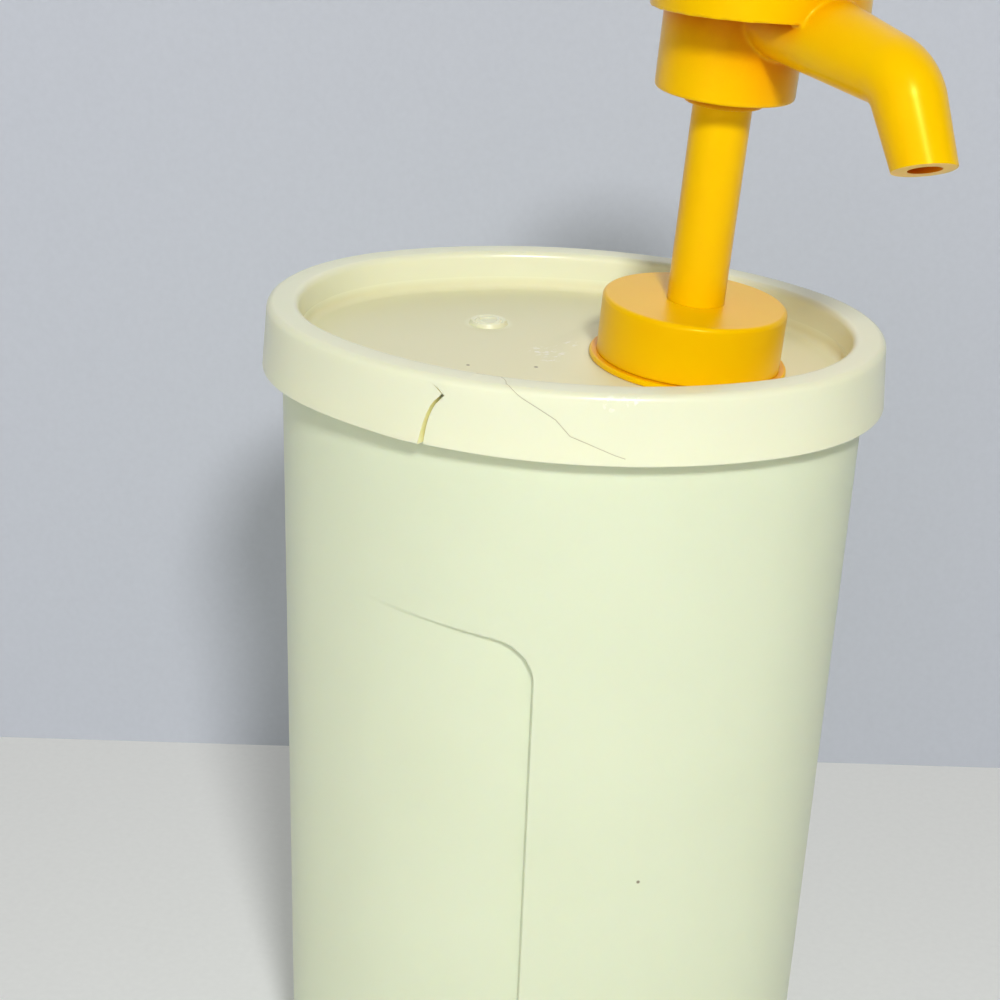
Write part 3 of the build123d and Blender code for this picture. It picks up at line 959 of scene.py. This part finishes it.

# Polypropylene from a polished mould: a full warm yellow with a clear, soft-edged gloss. Its
# creases, where little of the surround is in view, are painted a deeper orange as shade.
pump_plastic = new_material("glossy_moulded_polypropylene")
pump_skin = add_node(pump_plastic, "ShaderNodeTexCoord").outputs["Object"]
openness = add_node(
    pump_plastic,
    "ShaderNodeAmbientOcclusion",
    {"Distance": pump_crease * mm},
    samples=8,
    only_local=True,
)
openness = add_node(
    pump_plastic,
    "ShaderNodeMapRange",
    {"Value": openness.outputs["AO"], "From Min": closed_share, "From Max": 1.0},
)
pump_tint = add_node(
    pump_plastic,
    "ShaderNodeMix",
    {
        0: openness.outputs[0],
        6: paint(pump_painted_crease_shade),
        7: drifting_colour(pump_plastic, pump_skin, 9.0, pump_shade, pump_colour),
    },
    data_type="RGBA",
).outputs[2]
pump_finish = moulded_plastic(
    pump_plastic, pump_skin, pump_tint,
    roughness=0.28, scatter=(0.3, 1.6), skin=(0.5, 0.003), waves=(6.0, 0.03),
)
pump_finish.inputs["Specular IOR Level"].default_value = 0.45
pump_finish.inputs["Specular Tint"].default_value = paint("#FFD860")


def finish_node(name, material):
    """Gives a piece of the frame its material."""
    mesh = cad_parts[name].data
    mesh.materials.clear()
    mesh.materials.append(material)


finish_node("pump_body", pump_plastic)

# ---------------------------------------------------------------- flange_gasket
# The gasket is a flat ring of white silicone rubber, moulded. The lock nut presses it against
# the underside of the lid, where it seals the pump's hole.
# Silicone rubber: soft, dull and a little translucent, with no clear highlight.
seal_rubber = even_plastic(
    "moulded_silicone_rubber", 3.0, "#D9D7D0", "#E6E4DE",
    roughness=0.6, scatter=(0.4, 1.2), skin=(0.15, 0.01), waves=(4.0, 0.02),
)
finish_node("flange_gasket", seal_rubber)

# ---------------------------------------------------------------- lock_nut
# The nut is a ring of yellow polypropylene with wings for the fingers, moulded. It is screwed
# up the shank from inside the lid.
finish_node("lock_nut", pump_plastic)

# ---------------------------------------------------------------- dip_tube
# The tube is a cut length of extruded polyethylene that reaches nearly to the cup's floor. It
# is pushed into the socket below the barrel.
# Extruded polyethylene: milky and bright, lets some light through, and has faint streaks that
# the die draws along it.
streak_stretch = 0.03
tube_plastic = new_material("milky_extruded_polyethylene")
tube_skin = add_node(tube_plastic, "ShaderNodeTexCoord").outputs["Object"]
along_tube = add_node(
    tube_plastic, "ShaderNodeMapping", {"Vector": tube_skin, "Scale": (1, 1, streak_stretch)}
).outputs[0]
tube_tint = drifting_colour(tube_plastic, along_tube, 0.7, "#DDE3E2", "#EBF0EE")
tube_finish = moulded_plastic(
    tube_plastic, tube_skin, tube_tint,
    roughness=0.25, scatter=(0.6, 2.0), skin=(0.3, 0.004), waves=(8.0, 0.02),
)
tube_finish.inputs["Transmission Weight"].default_value = 0.25
finish_node("dip_tube", tube_plastic)

# ---------------------------------------------------------------- inlet_ball
# The inlet valve's ball is stainless steel, ground and polished. It lies loose on its seat in
# the barrel's floor.


def stainless_steel(name, colour, pitch, detail, least, most):
    """A steel whose marks, at a pitch in millimetres, vary its roughness between two values."""
    steel = new_material(name)
    place = add_node(steel, "ShaderNodeTexCoord").outputs["Object"]
    marks = add_node(
        steel,
        "ShaderNodeTexNoise",
        {"Vector": place, "Scale": 1 / (pitch * mm), "Detail": detail},
    )
    polish = add_node(
        steel, "ShaderNodeMapRange", {"Value": marks.outputs[0], "To Min": least, "To Max": most}
    )
    finish = add_node(
        steel,
        "ShaderNodeBsdfPrincipled",
        {"Base Color": paint(colour), "Metallic": 1.0, "Roughness": polish.outputs[0]},
    )
    add_node(steel, "ShaderNodeOutputMaterial", {"Surface": finish.outputs[0]})
    return steel


# Ground steel: bright, and it mirrors what is round it a little softly.
ball_steel = stainless_steel("ground_stainless_steel", "#CACCCE", 0.3, 2.0, 0.12, 0.22)
finish_node("inlet_ball", ball_steel)

# ---------------------------------------------------------------- inlet_cage
# The cage is natural white polyethylene, moulded with windows for the syrup. It is pressed
# into the barrel over the ball, and carries the spring.
# Natural polyethylene: white without dye, waxy and half matt.
guide_plastic = even_plastic(
    "natural_moulded_polyethylene", 5.0, "#E4E5DF", "#EEEFEA",
    roughness=0.4, scatter=(0.5, 2.0), skin=(0.4, 0.006), waves=(5.0, 0.03),
)
finish_node("inlet_cage", guide_plastic)

# ---------------------------------------------------------------- spring
# The return spring is coiled of drawn stainless wire. It stands loose between the cage and the
# piston, and is pressed together from above as the plunger goes down.
spring_wire = 1.1
spring_radius = 6.6
spring_turns = 6
spring_low = -57.85
spring_length = 41.1

# Drawn steel: greyer and duller than the balls, with fine marks from the die, which are drawn
# coarser than they are.
wire_steel = stainless_steel("drawn_stainless_steel", "#B9BBBD", 0.12, 4.0, 0.25, 0.42)
bpy.ops.mesh.primitive_circle_add(
    vertices=20,
    radius=spring_wire / 2 * mm,
    location=(spring_radius * mm, 0, spring_low * mm),
    rotation=(pi / 2, 0, 0),
)
spring = bpy.context.object
spring.name = spring.data.name = "spring_coil"
bpy.ops.object.transform_apply(location=True, rotation=True)
coiling = spring.modifiers.new("coil", "SCREW")
coiling.screw_offset = spring_length / spring_turns * mm
coiling.iterations = spring_turns
coiling.steps = coiling.render_steps = 40
bpy.ops.object.modifier_apply(modifier=coiling.name)
bpy.ops.object.mode_set(mode="EDIT")
close_mesh()
spring.data.transform(seat)
spring.data.materials.append(wire_steel)
soften(spring, 40)
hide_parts("spring")
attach(spring, "lid")
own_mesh(spring)

# ---------------------------------------------------------------- rod
# The plunger's rod is a yellow polypropylene tube, moulded, with the piston on its lower end
# and the head on its upper end.
finish_node("rod", pump_plastic)

# ---------------------------------------------------------------- discharge_ball
# The outlet valve's ball is stainless steel, ground and polished. It lies loose in the rod's
# lower end, on the piston's seat.
finish_node("discharge_ball", ball_steel)

# ---------------------------------------------------------------- discharge_cage
# A slotted disc of natural white polyethylene, moulded and pressed into the rod's bore, keeps
# the outlet ball near its seat.
finish_node("discharge_cage", guide_plastic)

# ---------------------------------------------------------------- piston
# The piston is natural white polyethylene, moulded with the outlet valve's seat in it. It is
# pressed on the rod's lower end.
finish_node("piston", guide_plastic)

# ---------------------------------------------------------------- piston_seal
# The seal is a ring of silicone rubber, moulded with a lip that wipes the barrel. It is sprung
# into the piston's groove.
finish_node("piston_seal", seal_rubber)

# ---------------------------------------------------------------- rod_guide
# The guide is a bush of natural white polyethylene, moulded. It is dropped into the barrel's
# mouth, where it holds the rod straight and stops the piston.
finish_node("rod_guide", guide_plastic)

# ---------------------------------------------------------------- rod_wiper
# The wiper is a soft ring of silicone rubber, moulded. The collar holds it down on the guide,
# and it wipes the rod.
finish_node("rod_wiper", seal_rubber)

# ---------------------------------------------------------------- collar
# The collar is a smooth cap of yellow polypropylene, moulded. It is screwed down over the
# neck, and keeps the guide and the wiper in.
finish_node("collar", pump_plastic)

# ---------------------------------------------------------------- head
# The head is one hollow moulding of yellow polypropylene, pressed on the rod: a skirt with the
# rod's socket in it, a thick press plate, and a bent spout whose tip has been cut by hand.
socket_radius = 6.5
socket_low = 44.9
head_radius = 11.5
head_low = 46.7
head_inside = 9.9
head_roof = 57.5
head_overlap = 1.8  # of the skirt with the press plate
skirt_round = 0.4
plate_radius = 17.4
plate_height = 10.4
plate_low = 60.5
plate_shift = 5.6
plate_tilt = radians(4.2)
plate_round = 2.6
plate_rib = 12.1
plate_inside = 15.6
plate_relief = 5.0
rod_socket = 4.95
rod_socket_top = 56.9
rod_bore = 3.4
spout_turn = radians(-43)
spout_start = 62.8
spout_slope = radians(7.5)
spout_end_slope = radians(59)
spout_straight = 35.1
spout_bend = 7.4
spout_last = 10.5
spout_radii = (7.45, 5.6, 4.9)  # at the root, the elbow and the tip
spout_bore = 2.6
tip_spare = 0.8
tip_skew = radians(9)
tip_cutter = (12, 6)  # radius and height
blend_grid = 0.3
past = 1  # how far a form runs into, or past, what it joins or cuts
upright_place = Matrix.Identity(4)
plate_place = (
    Matrix.Translation((0, 0, plate_low * mm))
    @ Matrix.Rotation(-plate_tilt, 4, "Y")
    @ Matrix.Translation((plate_shift * mm, 0, 0))
)


def outwards(slope):
    """The direction that runs outwards and falls at a slope."""
    return Vector((cos(slope), 0, -sin(slope)))


spout_run = outwards(spout_slope)
spout_end_run = outwards(spout_end_slope)
spout_elbow = Vector((0, 0, spout_start)) + spout_run * spout_straight
bend_centre = spout_elbow + Vector((-sin(spout_slope), 0, -cos(spout_slope))) * spout_bend
bend_end = bend_centre + Vector((sin(spout_end_slope), 0, cos(spout_end_slope))) * spout_bend


def drum(place, radius, low, high, off=0.0, low_round=0.0, high_round=0.0):
    """A closed drum on the Z axis of a frame, or off it, with its two edges rounded."""
    bpy.ops.mesh.primitive_cylinder_add(
        vertices=128,
        radius=radius * mm,
        depth=(high - low) * mm,
        location=(off * mm, 0, (low + high) / 2 * mm),
    )
    made = bpy.context.object
    bpy.ops.object.transform_apply(location=True)
    for level, edge_round in ((low, low_round), (high, high_round)):
        if edge_round:
            select_only(
                made,
                edges=lambda e: all(on_level(made.data.vertices[i].co, level) for i in e.vertices),
            )
            bpy.ops.object.mode_set(mode="EDIT")
            bpy.ops.mesh.select_mode(type="EDGE")
            bpy.ops.mesh.bevel(offset=edge_round * mm, segments=8)
            bpy.ops.object.mode_set(mode="OBJECT")
    made.data.transform(place)
    return made


def spout_form(root, elbow, last, reach):
    """A closed form along the spout's path, with a radius at its root, its elbow and its tip,
    and a length of the run after its elbow."""
    bpy.ops.mesh.primitive_circle_add(
        vertices=96,
        radius=root * mm,
        fill_type="NGON",
        location=(0, 0, spout_start * mm),
        rotation=(0, pi / 2 + spout_slope, 0),
    )
    made = bpy.context.object
    bpy.ops.object.transform_apply(location=True, rotation=True)
    bpy.ops.object.mode_set(mode="EDIT")
    bpy.ops.mesh.select_all(action="SELECT")
    bpy.ops.mesh.extrude_region_move(
        TRANSFORM_OT_translate={"value": spout_run * spout_straight * mm}
    )
    bpy.ops.transform.resize(value=(elbow / root,) * 3, center_override=spout_elbow * mm)
    bpy.ops.mesh.spin(
        steps=14, angle=spout_slope - spout_end_slope, center=bend_centre * mm, axis=(0, 1, 0)
    )
    bpy.ops.mesh.extrude_region_move(TRANSFORM_OT_translate={"value": spout_end_run * reach * mm})
    bpy.ops.transform.resize(
        value=(last / elbow,) * 3, center_override=(bend_end + spout_end_run * reach) * mm
    )
    close_mesh()
    return made


head = drum(upright_place, head_radius, head_low, plate_low + head_overlap, low_round=skirt_round)
head.name = head.data.name = "head_shell"
solids = [
    drum(upright_place, socket_radius, socket_low, head_low + past),
    drum(plate_place, plate_radius, 0, plate_height, high_round=plate_round),
    spout_form(*spout_radii, spout_last + tip_spare),
]
for solid in solids:
    cut_with(head, solid, "UNION")

# The forms are melted together, and their meeting edges eased, before the head is hollowed.
melt = head.modifiers.new("melt", "REMESH")
melt.mode = "VOXEL"
melt.voxel_size = blend_grid * mm
bpy.ops.object.modifier_apply(modifier=melt.name)
ease = head.modifiers.new("ease", "SMOOTH")
ease.factor = 0.5
ease.iterations = 4
bpy.ops.object.modifier_apply(modifier=ease.name)
hollow = drum(upright_place, head_inside, head_low - past, head_roof)
cut_with(hollow, drum(upright_place, socket_radius, head_low - 2 * past, head_roof + past))
relief = drum(plate_place, plate_inside, -past, plate_relief)
cut_with(relief, drum(plate_place, plate_rib, -2 * past, plate_relief + past, off=-plate_shift))
cut_with(relief, spout_form(*spout_radii, spout_last))
cuts = [
    hollow,
    relief,
    spout_form(spout_bore, spout_bore, spout_bore, spout_last + 2 * past),
    drum(upright_place, rod_socket, socket_low - past, rod_socket_top),
    drum(upright_place, rod_bore, rod_socket_top - past, spout_start),
]
for cut in cuts:
    cut_with(head, cut)
head_place = seat @ Matrix.Rotation(spout_turn, 4, "Z")
head.data.transform(head_place)

# The tip is cut off a little askew.
tip_middle = head_place @ ((bend_end + spout_end_run * spout_last) * mm)
along_tip = (head_place @ spout_end_run) - head_place.translation
cut_turn = (Matrix.Rotation(tip_skew, 3, camera_sight) @ along_tip).to_track_quat("Z", "Y")
cut_place = Matrix.Translation(tip_middle) @ cut_turn.to_matrix().to_4x4()
cut_with(head, drum(cut_place, tip_cutter[0], 0, tip_cutter[1]))

# The cutting forms had no material, and left an empty place in the list, which is cleared.
head.data.materials.clear()
head.data.materials.append(pump_plastic)
for polygon in head.data.polygons:
    polygon.material_index = 0
soften(head, 40)
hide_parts("head")
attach(head, "head")
